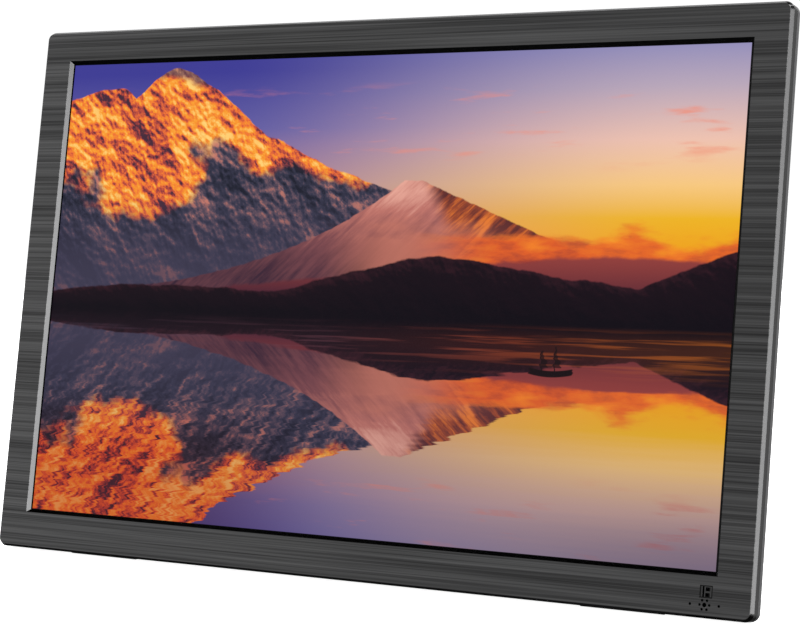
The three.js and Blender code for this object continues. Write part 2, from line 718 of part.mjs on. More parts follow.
function rearCover() {
  const rim = roundedRectangle(
    FRAME_W - 2 * EDGE_ROUND,
    FRAME_H - 2 * EDGE_ROUND,
    CORNER_RADIUS - EDGE_ROUND,
    0,
    MID_Z,
  );
  const front = SEAM + GAP;
  const flange = cut(
    slab(
      rim,
      [-EDGE_DEPTH, EDGE_DEPTH],
      { depth: EDGE_ROUND, size: EDGE_ROUND, steps: 5 },
      OUTLINE_SEGMENTS,
    ),
    box([-FRAME_W, FRAME_W], [-2 * EDGE_DEPTH, front], [-FRAME_H, 2 * FRAME_H]),
  );
  const housing = cut(
    housingBlock(HOUSING_W, HOUSING_H, HOUSING_SLOPE, BACK, 6),
    box([-FRAME_W, FRAME_W], [-2 * BACK, front + 1], [-FRAME_H, 2 * FRAME_H]),
  );

  // Pockets sunk into the rear face: the leg's recess, the hinge's side pockets and the port bay.
  const recessTop = HINGE_Z + 11;
  const recessHalf = LEG_TOP_W / 2 + 1.2;
  const recess = box([-recessHalf, recessHalf], [RECESS_FLOOR, BACK + 1], [-10, recessTop]);
  const pocket = box([-68, 68], [RECESS_FLOOR, BACK + 1], [HINGE_Z - 9, recessTop]);
  const bay = box([-HALF_W, PORT_FACE], [EDGE_DEPTH + 0.4, BACK + 1], BAY_Z);
  const recessWalls = join(
    box([-recessHalf - 2, recessHalf + 2], [RECESS_FLOOR - 2, BACK], [0, recessTop + 2]),
    box([-70, 70], [RECESS_FLOOR - 2, BACK], [HINGE_Z - 11, recessTop + 2]),
  );
  const bayWalls = box(
    [-HALF_W, PORT_FACE + PORT_WALL],
    [FLANGE_INSIDE, BACK],
    [BAY_Z[0] - 2, BAY_Z[1] + 2],
  );
  const sides = [-1, 1];
  const hingeBosses = sides.map((s) => post(3, s * HINGE_SCREW_X, HINGE_Z, [11.5, RECESS_FLOOR - 1]));

  // The hollow inside: the flange's shallow part, and the housing's deep part less the pockets' walls.
  const shallow = slab(
    roundedRectangle(FRAME_W - 4, FRAME_H - 4, CORNER_RADIUS - 2, 0, MID_Z),
    [0, FLANGE_INSIDE],
  );
  const deep = cut(
    housingBlock(HOUSING_W - 2, HOUSING_H - 2, HOUSING_SLOPE - 2.4, BACK - WALL, 5),
    box([-FRAME_W, FRAME_W], [-2 * BACK, FLANGE_INSIDE - 1], [-FRAME_H, 2 * FRAME_H]),
  );
  const hollow = join(shallow, cut(deep, recessWalls, bayWalls));
  const wells = sides.flatMap((s) => COVER_SCREWS.map(([, z]) => [s * COVER_SCREW_X, z]));
  const bosses = wells.map(([x, z]) => post(3.4, x, z, [front, EDGE_DEPTH - 0.5]));
  const around = ([low, high], margin) => [low - margin, high + margin];
  const padSeats = sides.map((s) =>
    box(mirrored(s, around(PAD.x, GAP)), around(PAD.y, GAP), [-1, PAD.top + GAP]),
  );
  const padSockets = sides.map((s) =>
    box(mirrored(s, around(PAD.x, 2)), [front + 0.2, FLANGE_INSIDE + 1], [1, PAD.top + GAP + 1.2]),
  );
  const keyHoles = KEY_NAMES.map((_, i) => {
    const hole = roundedRectangle(KEY_W + 2 * GAP, KEY_H + 2 * GAP, 2.9, KEY_X, keyZ(i));
    return slab(hole, [BACK - WALL - 1, BACK + 1], null, 3);
  });
  const hingeHoles = sides.map((s) => {
    return post(HOLE_RADIUS, s * HINGE_SCREW_X, HINGE_Z, [10, RECESS_FLOOR + 1], 10);
  });

  const shell = cut(join(flange, housing), hollow);
  const solid = join(shell, ...bosses, ...hingeBosses, ...padSockets);
  return cut(
    solid,
    recess,
    pocket,
    bay,
    keyhole(-1),
    keyhole(1),
    ...ventSlots(),
    ...speakerSlots(-1),
    ...speakerSlots(1),
    ...portCutouts(),
    ...wells.map(([x, z]) => screwWell(x, z)),
    ...padSeats,
    ...keyHoles,
    ...hingeHoles,
  );
}

add("rear_cover", rearCover(), MATERIALS.blackPlastic);

// ---------------------------------------------------------------- screws
// A pan-head screw along Y, with its head at the back and a cross cut into it.
function screw(x, z, seat, length, headRadius = 2.3, headHeight = 1.4) {
  const head = post(headRadius, x, z, [seat, seat + headHeight]);
  const shank = post(SHANK_RADIUS, x, z, [seat - length, seat + 0.2], 8);
  const slotDepth = [seat + headHeight - 0.7, seat + headHeight + 1];
  const across = box([x - 1.4, x + 1.4], slotDepth, [z - 0.3, z + 0.3]);
  const along = box([x - 0.3, x + 0.3], slotDepth, [z - 1.4, z + 1.4]);
  return cut(join(head, shank), across, along);
}

for (const [sideName, side] of [["left", -1], ["right", 1]]) {
  for (const [level, z] of COVER_SCREWS) {
    const name = `cover_screw_${level}_${sideName}`;
    add(name, screw(side * COVER_SCREW_X, z, FLANGE_INSIDE, 5), MATERIALS.screwBlack);
  }
  add(
    `bracket_screw_${sideName}`,
    screw(side * COVER_SCREW_X, BRACKET_SCREW_Z, BRACKET_BACK + GAP, 4, 2.2, 0.8),
    MATERIALS.steel,
  );
  add(
    `hinge_screw_${sideName}`,
    screw(side * HINGE_SCREW_X, HINGE_Z, RECESS_FLOOR + GAP + 1.8 + GAP, 7.5),
    MATERIALS.screwBlack,
  );
}

BOARD_SCREWS.forEach(([x, z], i) => {
  add(`board_screw_${["lower", "upper"][i]}`, screw(x, z, BOARD.y[1] + GAP, 4.6), MATERIALS.steel);
});
KEY_BOARD_SCREWS.forEach((z, i) => {
  const name = `key_board_screw_${["lower", "upper"][i]}`;
  add(name, screw(KEY_X, z, KEY_BOARD.y[1] + GAP, 4.6), MATERIALS.steel);
});

// ---------------------------------------------------------------- placing
// The panel leans back, and the whole frame is centred over its own footprint with its feet on the floor.
panel.rotation.x = -LEAN;
panel.position.z = -FLOOR;
const extent = new THREE.Box3().setFromObject(frame, true);
panel.position.y = -(extent.min.y + extent.max.y) / 2;

export default frame;
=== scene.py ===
"""Looks of a leaning 17-inch digital photo frame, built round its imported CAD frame. Metres."""
import functools
import json
import math

import bmesh
import bpy
from mathutils import Matrix, Quaternion, Vector


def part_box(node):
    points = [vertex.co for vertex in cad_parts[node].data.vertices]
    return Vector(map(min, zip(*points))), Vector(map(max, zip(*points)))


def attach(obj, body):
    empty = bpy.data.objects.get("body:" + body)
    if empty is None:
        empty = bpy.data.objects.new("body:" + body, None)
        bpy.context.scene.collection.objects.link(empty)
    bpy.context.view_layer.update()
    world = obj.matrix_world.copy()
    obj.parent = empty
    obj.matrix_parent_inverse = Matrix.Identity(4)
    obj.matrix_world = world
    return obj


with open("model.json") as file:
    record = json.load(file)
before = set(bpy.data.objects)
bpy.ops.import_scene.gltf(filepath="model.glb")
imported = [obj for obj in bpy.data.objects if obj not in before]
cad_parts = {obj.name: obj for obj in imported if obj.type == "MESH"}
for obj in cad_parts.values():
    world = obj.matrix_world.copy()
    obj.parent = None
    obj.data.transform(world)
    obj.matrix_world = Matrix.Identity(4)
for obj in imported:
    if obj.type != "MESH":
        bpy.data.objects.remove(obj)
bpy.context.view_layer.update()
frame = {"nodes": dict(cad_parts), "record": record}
nodes = frame["nodes"]

# ---------------------------------------------------------------- driving dimensions
MM = 0.001
LEAN = math.radians(10)
CHAMFER = 1.2 * MM  # round the front face, across it
CHAMFER_DEPTH = 2.0 * MM
SEAM = 6 * MM  # depth of the front frame's side
WINDOW_BOTTOM = 19.6 * MM  # from the outline's bottom edge to the window
SENSOR_X = 180.4 * MM  # middle of the sensor group
SENSOR_REACH = 8 * MM  # from that middle to past the group's last pinhole
SENSOR_TOP = 14.4 * MM  # just above the group, from the outline's bottom edge
HOLE_DEPTH = 0.45 * MM  # deeper than this, a surface near the sensors is inside a hole
RECESS_MIDDLE = (180.8 * MM, 11.35 * MM)  # of the shallow square round the sensor windows
RECESS_HALF = (2.8 * MM, 2.65 * MM)
WINDOW_H = 230 * MM
DISPLAY_FRONT = 2.5 * MM  # depth of the display's front face
ACTIVE_W = 367.3 * MM  # the lit part of the display
ACTIVE_H = 229.3 * MM
SOFT_EDGE = 0.12 * MM  # how far an edge is rounded, where no other width is given
SOFT_EDGES = {"stand_leg": 0.5 * MM, "stand_shoe": 0.4 * MM, "foot_pad": 0.3 * MM, "button": 0.15 * MM}
PRINT_HEIGHT = 0.1 * MM  # of the symbols on the keys

# The camera, in the panel's own axes: its place from the outline's middle, and the opposite of its view.
CAMERA_LENS = 95.65  # in mm, as is the sensor's width
CAMERA_SENSOR = 36
CAMERA_PLACE = (500.7 * MM, -860.4 * MM, -95.7 * MM)
CAMERA_BACKWARD = (0.4846, -0.8702, -0.0893)
CAMERA_ROLL = math.radians(-0.12)

# Lamps: name, place, size, watts, and whether glossy surfaces show it.
LAMP_TARGET = Vector((0, 0, 0.13))
LAMPS = (
    ("softbox", (2.0, -0.55, 0.28), (1.9, 1.26), 10.6, True),
    ("left_softbox", (-2.3, 0.7, 1.2), (1.2, 1.2), 14, True),
    ("rear_softbox", (1.3, 2.0, 1.7), (1.3, 1.3), 34, True),
    ("overhead", (0, -0.3, 2.6), (2.5, 2.5), 40, False),
    ("front_fill", (-1.4, -2.2, 1.2), (1.5, 1.5), 25, False),
    ("rear_fill", (-1.2, 2.4, 0.9), (1.5, 1.5), 40, False),
)
FLOOR_REACH = 30

# The panel's own axes: X to the right, Y from the front face to the back, Z up from the bottom edge.
front_low, front_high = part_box("front_frame")
PANEL_ORIGIN = Vector(
    (
        0,
        front_low.y - CHAMFER * math.sin(LEAN),
        front_low.z + SEAM * math.sin(LEAN),
    )
)
PANEL_TO_WORLD = Matrix.Translation(PANEL_ORIGIN) @ Matrix.Rotation(-LEAN, 4, "X")
PANEL_H = (front_high.z - front_low.z - (SEAM - CHAMFER_DEPTH) * math.sin(LEAN)) / math.cos(LEAN)


# ---------------------------------------------------------------- node trees in plain arithmetic
class Field:
    """A number or a vector that varies over a surface. Arithmetic on it adds nodes to its tree."""

    def __init__(self, tree, socket):
        self.tree = tree
        self.socket = socket

    def feed(self, socket, value):
        if isinstance(value, Field):
            self.tree.links.new(value.socket, socket)
        else:
            socket.default_value = value

    def math(self, operation, *others, clamp=False):
        node = self.tree.nodes.new("ShaderNodeMath")
        node.operation = operation
        node.use_clamp = clamp
        for socket, value in zip(node.inputs, (self, *others)):
            self.feed(socket, value)
        return Field(self.tree, node.outputs[0])

    def __add__(self, other):
        return self.math("ADD", other)

    def __sub__(self, other):
        return self.math("SUBTRACT", other)

    def __mul__(self, other):
        return self.math("MULTIPLY", other)

    def __truediv__(self, other):
        return self.math("DIVIDE", other)

    def __rsub__(self, other):
        return (self * -1.0).math("ADD", other)

    __radd__ = __add__
    __rmul__ = __mul__

    def min(self, other):
        return self.math("MINIMUM", other)

    def max(self, other):
        return self.math("MAXIMUM", other)

    def abs(self):
        return self.math("ABSOLUTE")

    def sin(self):
        return self.math("SINE")

    def clamp(self):
        return self.math("ADD", 0.0, clamp=True)

    def step(self, start, end, smooth=True):
        """0 where this is below start, 1 where it is above end, and a smooth rise between."""
        node = self.tree.nodes.new("ShaderNodeMapRange")
        node.interpolation_type = "SMOOTHSTEP" if smooth else "LINEAR"
        values = (self, start, end, 0.0, 1.0)
        for name, value in zip(("Value", "From Min", "From Max", "To Min", "To Max"), values):
            self.feed(node.inputs[name], value)
        return Field(self.tree, node.outputs["Result"])

    def ramp(self, *stops):
        """A colour that runs through (place, colour) stops as this runs from 0 to 1."""
        node = self.tree.nodes.new("ShaderNodeValToRGB")
        points = node.color_ramp.elements
        while len(points) < len(stops):
            points.new(0.5)
        for point, (place, color) in zip(points, stops):
            point.position = place
            point.color = (*color, 1)
        self.feed(node.inputs[0], self)
        return Field(self.tree, node.outputs["Color"])


def srgb(red, green, blue):
    """The linear colour of an 8-bit sRGB one."""
    def linear(value):
        value /= 255
        return value / 12.92 if value <= 0.04045 else ((value + 0.055) / 1.055) ** 2.4

    return (linear(red), linear(green), linear(blue))


class Surface:
    """A material with one Principled shader, and short ways to make the fields that drive it."""

    def __init__(self, name):
        self.material = bpy.data.materials.new(name)
        self.material.use_nodes = True
        self.tree = self.material.node_tree
        self.shader = self.tree.nodes["Principled BSDF"]

    def place(self, scale=(1, 1, 1)):
        """Position in the panel's own axes, in metres, scaled axis by axis."""
        source = self.tree.nodes.new("ShaderNodeTexCoord")
        turn = self.tree.nodes.new("ShaderNodeMapping")
        turn.inputs["Rotation"].default_value = (LEAN, 0, 0)
        turn.inputs["Location"].default_value = PANEL_TO_WORLD.inverted().translation
        stretch = self.tree.nodes.new("ShaderNodeMapping")
        stretch.inputs["Scale"].default_value = scale
        self.tree.links.new(source.outputs["Object"], turn.inputs["Vector"])
        self.tree.links.new(turn.outputs["Vector"], stretch.inputs["Vector"])
        return Field(self.tree, stretch.outputs["Vector"])

    def split(self, where):
        node = self.tree.nodes.new("ShaderNodeSeparateXYZ")
        where.feed(node.inputs[0], where)
        return [Field(self.tree, output) for output in node.outputs]

    def combine(self, x, y, z=0.0):
        node = self.tree.nodes.new("ShaderNodeCombineXYZ")
        for socket, value in zip(node.inputs, (x, y, z)):
            x.feed(socket, value)
        return Field(self.tree, node.outputs[0])

    def noise(self, where, scale, detail=2.0, roughness=0.5):
        node = self.tree.nodes.new("ShaderNodeTexNoise")
        where.feed(node.inputs["Vector"], where)
        for name, value in (("Scale", scale), ("Detail", detail), ("Roughness", roughness)):
            node.inputs[name].default_value = value
        return Field(self.tree, node.outputs["Fac"])

    def mix(self, factor, low, high, blend="MIX"):
        node = self.tree.nodes.new("ShaderNodeMix")
        node.data_type = "RGBA"
        node.blend_type = blend
        for socket, value in ((node.inputs[0], factor), (node.inputs[6], low), (node.inputs[7], high)):
            if isinstance(value, tuple):
                value = (*value, 1)
            factor.feed(socket, value)
        return Field(self.tree, node.outputs[2])

    def bump(self, height, distance, strength=1.0):
        node = self.tree.nodes.new("ShaderNodeBump")
        node.inputs["Distance"].default_value = distance
        node.inputs["Strength"].default_value = strength
        height.feed(node.inputs["Height"], height)
        self.tree.links.new(node.outputs["Normal"], self.shader.inputs["Normal"])

    def set(self, **values):
        """Sets the shader's inputs, named as Blender names them with _ for a space."""
        for name, value in values.items():
            socket = self.shader.inputs[name.replace("_", " ")]
            if isinstance(value, Field):
                self.tree.links.new(value.socket, socket)
            elif isinstance(value, tuple):
                socket.default_value = (*value, 1)
            else:
                socket.default_value = value
        return self.material


# ---------------------------------------------------------------- materials
def metal_grey(value):
    """A grey with a trace of blue."""
    return (value, value, value * 1.01)


def sensor_shadow(x, depth, z):
    """Painted shade at the sensors: 1 inside the group's holes, and rather less in a ring round its
    square recess.
    """
    beside = (SENSOR_REACH - (x - SENSOR_X).abs()).step(0.0, 0.1 * MM)
    holes = beside * (SENSOR_TOP - z).step(0.0, 0.1 * MM) * (depth - HOLE_DEPTH).step(0.0, 0.1 * MM)
    across = (x - RECESS_MIDDLE[0]).abs() - RECESS_HALF[0]
    up = (z - RECESS_MIDDLE[1]).abs() - RECESS_HALF[1]
    rim = (across.max(up) + 0.2 * MM).abs()
    return holes.max((0.4 * MM - rim).step(0.0, 0.25 * MM) * 0.75)


def brushed_metal():
    """Dark metal: the face is brushed from side to side, the cut edges round it are left smooth."""
    surface = Surface("brushed_metal")
    hairs = surface.noise(surface.place((6, 400, 1500)), 1.0, detail=3, roughness=0.6)
    streaks = surface.noise(surface.place((2.2, 300, 640)), 1.0, detail=4, roughness=0.62)
    x, depth, z = surface.split(surface.place())
    face = (0.3 * MM - depth).step(0.0, 0.2 * MM)
    tone = streaks.step(0.34, 0.66) * 0.55 + hairs.step(0.3, 0.7) * 0.45
    brushed = tone.ramp((0.1, metal_grey(0.15)), (0.5, metal_grey(0.30)), (0.9, metal_grey(0.46)))
    bevel = surface.mix(hairs, metal_grey(0.25), metal_grey(0.29))
    # painted shade: the side walls get a far darker copy of the metal than the face and bevels
    side = surface.mix(hairs, metal_grey(0.022), metal_grey(0.030))
    cut = surface.mix((depth - CHAMFER_DEPTH).step(0.0, 0.1 * MM), bevel, side)
    color = surface.mix(face, cut, brushed)
    surface.bump((hairs * 0.3 + streaks * 0.7) * face, 0.04 * MM, 0.5)
    return surface.set(
        # painted shade: near-black in the sensor holes and in a ring round their recess
        Base_Color=surface.mix(sensor_shadow(x, depth, z), color, (0.004, 0.004, 0.004)),
        Metallic=1.0,
        Specular_Tint=(0.7, 0.7, 0.7),
        Roughness=0.2 + face * (0.14 - streaks * 0.08),
        Anisotropic=0.3,
    )


def moulded_plastic(name, color, grain=0.45 * MM, depth=0.05 * MM, roughness=0.55):
    """Spark-eroded plastic: an even fine grain, with faint handling wear in patches."""
    surface = Surface(name)
    where = surface.place()
    pits = surface.noise(where, 1 / grain, detail=2)
    patches = surface.noise(where, 14, detail=5, roughness=0.6)
    surface.bump(pits, depth, 0.6)
    light = tuple(min(1.0, c * 1.5 + 0.004) for c in color)
    shade = patches.step(0.35, 0.7) * 0.35 + pits.step(0.35, 0.65) * 0.5
    return surface.set(
        Base_Color=surface.mix(shade, color, light),
        Roughness=roughness + pits * 0.12 - patches * 0.1,
    )


def sheet_metal(name, color, roughness=0.34, brushed=(40, 900, 900)):
    surface = Surface(name)
    lines = surface.noise(surface.place(brushed), 1.0, detail=3)
    stains = surface.noise(surface.place(), 60, detail=3)
    surface.bump(lines, 0.02 * MM, 0.3)
    dark = tuple(c * 0.72 for c in color)
    return surface.set(
        Base_Color=surface.mix(lines * 0.6 + stains * 0.4, dark, color),
        Metallic=1.0,
        Roughness=roughness + lines * 0.12,
    )


def rubber():
    """Matt black rubber with fine moulded ribs across it, and a little dust."""
    surface = Surface("rubber")
    grain = surface.noise(surface.place(), 2200, detail=3)
    dust = surface.noise(surface.place(), 90, detail=4)
    x = surface.split(surface.place())[0]
    ribs = (x * (2 * math.pi / (1.6 * MM))).sin().step(-0.2, 0.6)
    surface.bump(ribs + grain * 0.3, 0.15 * MM, 0.7)
    return surface.set(
        Base_Color=surface.mix(dust.step(0.4, 0.75) * 0.5, srgb(20, 20, 20), srgb(42, 42, 41)),
        Roughness=0.8 + grain * 0.12,
    )


def circuit_board():
    """Solder mask with copper tracks faintly showing under it."""
    surface = Surface("circuit_board")
    where = surface.place()
    x, _, z = surface.split(where)
    tracks = ((x * 2600).sin() * (z * 2100).sin() + surface.noise(where, 160)).step(0.5, 0.62)
    surface.bump(tracks, 0.03 * MM, 0.5)
    return surface.set(
        Base_Color=surface.mix(tracks, srgb(14, 66, 40), srgb(28, 104, 62)),
        Roughness=0.35 + tracks * 0.1,
    )


def optical_film(name, color, roughness):
    surface = Surface(name)
    haze = surface.noise(surface.place(), 400, detail=2)
    return surface.set(
        Base_Color=surface.mix(haze, tuple(c * 0.9 for c in color), color),
        Roughness=roughness + haze * 0.1,
    )


def smoked_window():
    surface = Surface("smoked_window")
    depth = surface.noise(surface.place(), 900, detail=2)
    return surface.set(
        Base_Color=surface.mix(depth, srgb(6, 6, 8), srgb(16, 14, 18)),
        Roughness=0.1 + depth * 0.06,
        Coat_Weight=0.6,
    )


class Lake:
    """A made-up mountain lake at sunset, painted with fields. All its sizes are in picture widths.

    Heights run up from the waterline; below it the same land and sky are seen again, upside down.
    """

    SHORE = 0.283  # from the picture's lower edge to the waterline
    TOP = 0.342  # from the waterline to the picture's upper edge

    # Summits: place, height, fall to the left, fall to the right, bluntness.
    SNOW_SUMMITS = (
        (0.175, 0.336, 1.0, 0.78, 0.02),
        (0.20, 0.262, 0.5, 0.38, 0.03),
        (0.085, 0.306, 0.35, 1.2, 0.02),
        (0.0, 0.272, 0.5, 0.9, 0.02),
    )
    FAR_SUMMITS = ((0.86, 0.082, 0.10, 0.10, 0.01),)
    NEAR_SUMMITS = (
        (0.59, 0.078, 0.26, 0.17, 0.01),
        (0.80, 0.052, 0.1, 0.2, 0.01),
        (1.02, 0.094, 0.42, 0.1, 0.01),
        (0.14, 0.034, 0.16, 0.05, 0.01),
        (0.29, 0.029, 0.1, 0.28, 0.01),
    )
    CONE_PLACE = 0.555
    CONE_HEIGHT = 0.183
    BOAT_PLACE = (0.77, 0.222)
    BOAT_SIZE = (0.03, 0.0075)  # half its length, and the height of its hull

    def __init__(self, surface, across, up):
        self.surface = surface
        depth = (up * -1.0 + self.SHORE).max(0.0)
        self.under = depth.step(0.0, 0.0015)
        swell = surface.noise(surface.combine(across * 5.0, up * 150.0), 1.0, detail=3) - 0.5
        ripple = swell * self.under * (depth * 0.05 + 0.006)
        self.across = across + ripple * 1.5
        self.height = (up - self.SHORE).abs() + ripple
        self.up = up
        self.depth = depth
        self.swell = swell

    def rough(self, scale, detail=6.0, seed=0.0, squash=1.0, roughness=0.55):
        """Fractal noise from 0 to 1 that moves with the land."""
        where = self.surface.combine(self.across, self.height * squash, seed)
        return self.surface.noise(where, scale, detail, roughness)

    def relief(self, scale, seed, lean, strength, squash=1.0, roughness=0.62):
        """How a rough slope catches a light that comes from the right: 0 shaded, 1 lit."""
        step = 0.004
        slant = self.across + self.height * lean
        level = self.height * squash
        places = [self.surface.combine(slant + move, level + move, seed) for move in (0.0, step)]
        here, there = [self.surface.noise(place, scale, 9.0, roughness) for place in places]
        return ((here - there) * strength + 0.5).clamp()

    def summit(self, peak, height, left, right, blunt):
        """The outline of one blunt summit, with a slope of its own on each side."""
        offset = self.across - peak
        fall = (offset * -left).max(offset * right)
        return height + blunt - (fall * fall + blunt * blunt).math("SQRT")

    def skyline(self, summits):
        """The outline of several summits, one behind another."""
        return functools.reduce(Field.max, [self.summit(*summit) for summit in summits])

    def cover(self, ridge, picture, land, blur=0.0012):
        """Paints the land over the picture, up to its ridge."""
        return self.surface.mix((ridge - self.height).step(-blur, blur), picture, land)

    def sky(self):
        climb = self.height / self.TOP
        left = climb.ramp(
            (0.0, srgb(236, 150, 90)),
            (0.3, srgb(226, 150, 120)),
            (0.48, srgb(170, 130, 152)),
            (0.72, srgb(96, 92, 162)),
            (0.95, srgb(62, 60, 148)),
        )
        right = climb.ramp(
            (0.2, srgb(240, 150, 20)),
            (0.38, srgb(238, 180, 36)),
            (0.5, srgb(247, 200, 128)),
            (0.66, srgb(238, 194, 176)),
            (0.85, srgb(186, 168, 186)),
            (1.0, srgb(148, 143, 186)),
        )
        sky = self.surface.mix(self.across.step(0.25, 0.95), left, right)
        wisp = self.rough(7, 5.0, seed=4.0, squash=7.0).step(0.56, 0.72)
        band = self.height.step(0.18, 0.23) * (0.31 - self.height).step(0.0, 0.04)
        return self.surface.mix(wisp * band * 0.75, sky, srgb(240, 138, 112))

    def snow_mountain(self, picture):
        ridge = self.skyline(self.SNOW_SUMMITS) + (self.rough(13, seed=1.0, roughness=0.5) - 0.5) * 0.03
        folds = self.relief(8, 2.0, 0.55, 11.0, squash=0.85, roughness=0.6)
        ribs = self.rough(11, 6.0, seed=21.0, squash=0.35, roughness=0.55)
        lit = (folds * 0.72 + ribs.step(0.3, 0.7) * 0.28).step(0.08, 0.92, smooth=False)
        gold = lit.ramp(
            (0.14, srgb(70, 42, 58)),
            (0.32, srgb(176, 70, 62)),
            (0.48, srgb(238, 112, 54)),
            (0.68, srgb(250, 156, 44)),
            (0.97, srgb(255, 210, 118)),
        )
        slate = lit.ramp(
            (0.1, srgb(30, 32, 46)),
            (0.45, srgb(56, 56, 76)),
            (0.7, srgb(104, 82, 94)),
            (1.0, srgb(196, 122, 108)),
        )
        patches = self.rough(5, 5.0, seed=7.0, roughness=0.55)
        line = (patches - 0.5) * 0.42 + (0.5 - ribs) * 0.06 + 0.176
        body = self.surface.mix((self.height - line).step(-0.012, 0.016), slate, gold)
        tip = (self.height - 0.308 + (patches - 0.5) * 0.1).step(0.0, 0.012) * 0.85
        body = self.surface.mix(tip, body, slate)
        haze = (0.17 - self.height).step(0.0, 0.13) * 0.8
        body = self.surface.mix(haze, body, srgb(64, 60, 82))
        return self.cover(ridge, picture, body)

    def cone_mountain(self, picture):
        offset = self.across - self.CONE_PLACE
        flank = (offset * 4.3).min(0.0).math("EXPONENT") * self.CONE_HEIGHT
        ridge = flank.min(self.CONE_HEIGHT - offset * 0.40).min(self.CONE_HEIGHT - 0.007)
        ridge = ridge + (self.rough(60, seed=3.0) - 0.5) * 0.006
        streak = self.relief(13, 5.0, -1.1, 7.0, squash=0.3)
        shade = (self.height - 0.10).step(-0.06, 0.08) * 0.8 + streak * 0.25
        mist = shade.ramp(
            (0.0, srgb(52, 34, 52)),
            (0.4, srgb(122, 72, 78)),
            (0.75, srgb(190, 116, 106)),
            (1.0, srgb(230, 166, 150)),
        )
        sunlit = streak.ramp(
            (0.2, srgb(92, 44, 44)),
            (0.6, srgb(158, 74, 46)),
            (1.0, srgb(228, 122, 50)),
        )
        east = (offset + self.height * 0.55 - 0.118).step(-0.012, 0.02)
        return self.cover(ridge, picture, self.surface.mix(east, mist, sunlit))

    def clouds(self, picture):
        """A bank of mist over the cone's foot, and lit clouds to the right of it."""
        drift = self.rough(8, 5.0, seed=19.0, squash=2.5)
        bank = (0.130 - self.height + (drift - 0.5) * 0.08).step(0.0, 0.035)
        bank = bank * (1.0 - ((self.across - 0.57) / 0.15).abs()).step(0.0, 0.9)
        picture = self.surface.mix(bank * 0.7, picture, srgb(206, 124, 104))
        puff = self.rough(9, 6.0, seed=9.0, squash=3.2)
        top = (puff - 0.5) * 0.11 + 0.116
        inside = (top - self.height).step(-0.002, 0.024) * self.across.step(0.54, 0.70)
        low = self.rough(16, 6.0, seed=11.0, squash=3.0)
        glow = (low * 1.3 - 0.2 + (top - self.height) * -5.0).ramp(
            (0.0, srgb(150, 56, 50)),
            (0.3, srgb(226, 96, 40)),
            (0.6, srgb(244, 130, 40)),
            (1.0, srgb(250, 186, 70)),
        )
        return self.surface.mix(inside * 0.93, picture, glow)

    def far_hills(self, picture):
        ridge = self.skyline(self.FAR_SUMMITS) + (self.rough(16, seed=13.0) - 0.5) * 0.016
        tone = (self.height * 12.0).ramp((0.3, srgb(74, 34, 50)), (1.0, srgb(148, 64, 60)))
        return self.cover(ridge, picture, tone, blur=0.003)

    def near_hills(self, picture):
        ridge = self.skyline(self.NEAR_SUMMITS) + (self.rough(24, seed=15.0) - 0.5) * 0.014
        lit = self.relief(20, 17.0, 0.6, 5.0)
        tone = ((self.height / ridge.max(0.01)) * 0.8 + lit * 0.35 - 0.2).ramp(
            (0.0, srgb(14, 8, 18)),
            (0.6, srgb(24, 12, 22)),
            (1.0, srgb(58, 28, 38)),
        )
        return self.cover(ridge, picture, tone, blur=0.0015)

    def water(self, mirror):
        """The mirrored land, dulled, under streaks of light that run across it."""
        shore = (0.075 - self.depth).step(0.0, 0.075) * self.depth.step(0.002, 0.04)
        streaks = self.swell.step(0.0, 0.14)
        evening = self.across.ramp(
            (0.0, srgb(58, 52, 70)),
            (0.45, srgb(104, 62, 74)),
            (0.72, srgb(186, 84, 48)),
            (1.0, srgb(232, 126, 38)),
        )
        dull = self.surface.mix(self.depth.step(0.0, 0.25) * 0.34, mirror, srgb(46, 40, 62))
        ember = (0.5 - self.across).step(0.0, 0.3) * self.depth.step(0.1, 0.2)
        dull = self.surface.mix(ember, dull, srgb(250, 196, 186), blend="MULTIPLY")
        dusk = self.depth.step(0.15, 0.29) * self.across.step(0.4, 1.0) * 0.7
        dull = self.surface.mix(dusk, dull, srgb(92, 78, 104))
        return self.surface.mix(shore * (streaks * 0.6 + 0.1), dull, evening)

    def boat(self, picture):
        """A small two-masted boat, in silhouette."""
        along = (self.across - self.BOAT_PLACE[0]) / self.BOAT_SIZE[0]
        level = (self.up - self.BOAT_PLACE[1]) / self.BOAT_SIZE[1]
        keel = (level - along * along * 0.5 + 0.9).step(0, 0.2)
        deck = (0.35 + along * along * 0.45 - level).step(0, 0.2)
        shape = (1.0 - along.abs()).step(-0.02, 0.05) * keel * deck
        for mast, height in ((-0.42, 3.6), (0.18, 4.4)):
            pole = (0.035 - (along - mast).abs()).step(0, 0.02) * level.step(-0.2, 0.0)
            pole = pole * (height - level).step(0, 0.3)
            sail = (along - mast).step(0, 0.02) * (0.42 - (along - mast) - level * 0.1).step(0, 0.03)
            sail = sail * level.step(0.7, 0.8) * (height - level).step(0, 0.3)
            shape = shape.max(pole).max(sail * 0.8)
        return self.surface.mix(shape, picture, srgb(24, 14, 18))

    def paint(self):
        picture = self.snow_mountain(self.sky())
        picture = self.cone_mountain(picture)
        picture = self.clouds(picture)
        picture = self.far_hills(picture)
        picture = self.near_hills(picture)
        lake = self.water(picture)
        return self.boat(self.surface.mix(self.under, picture, lake))


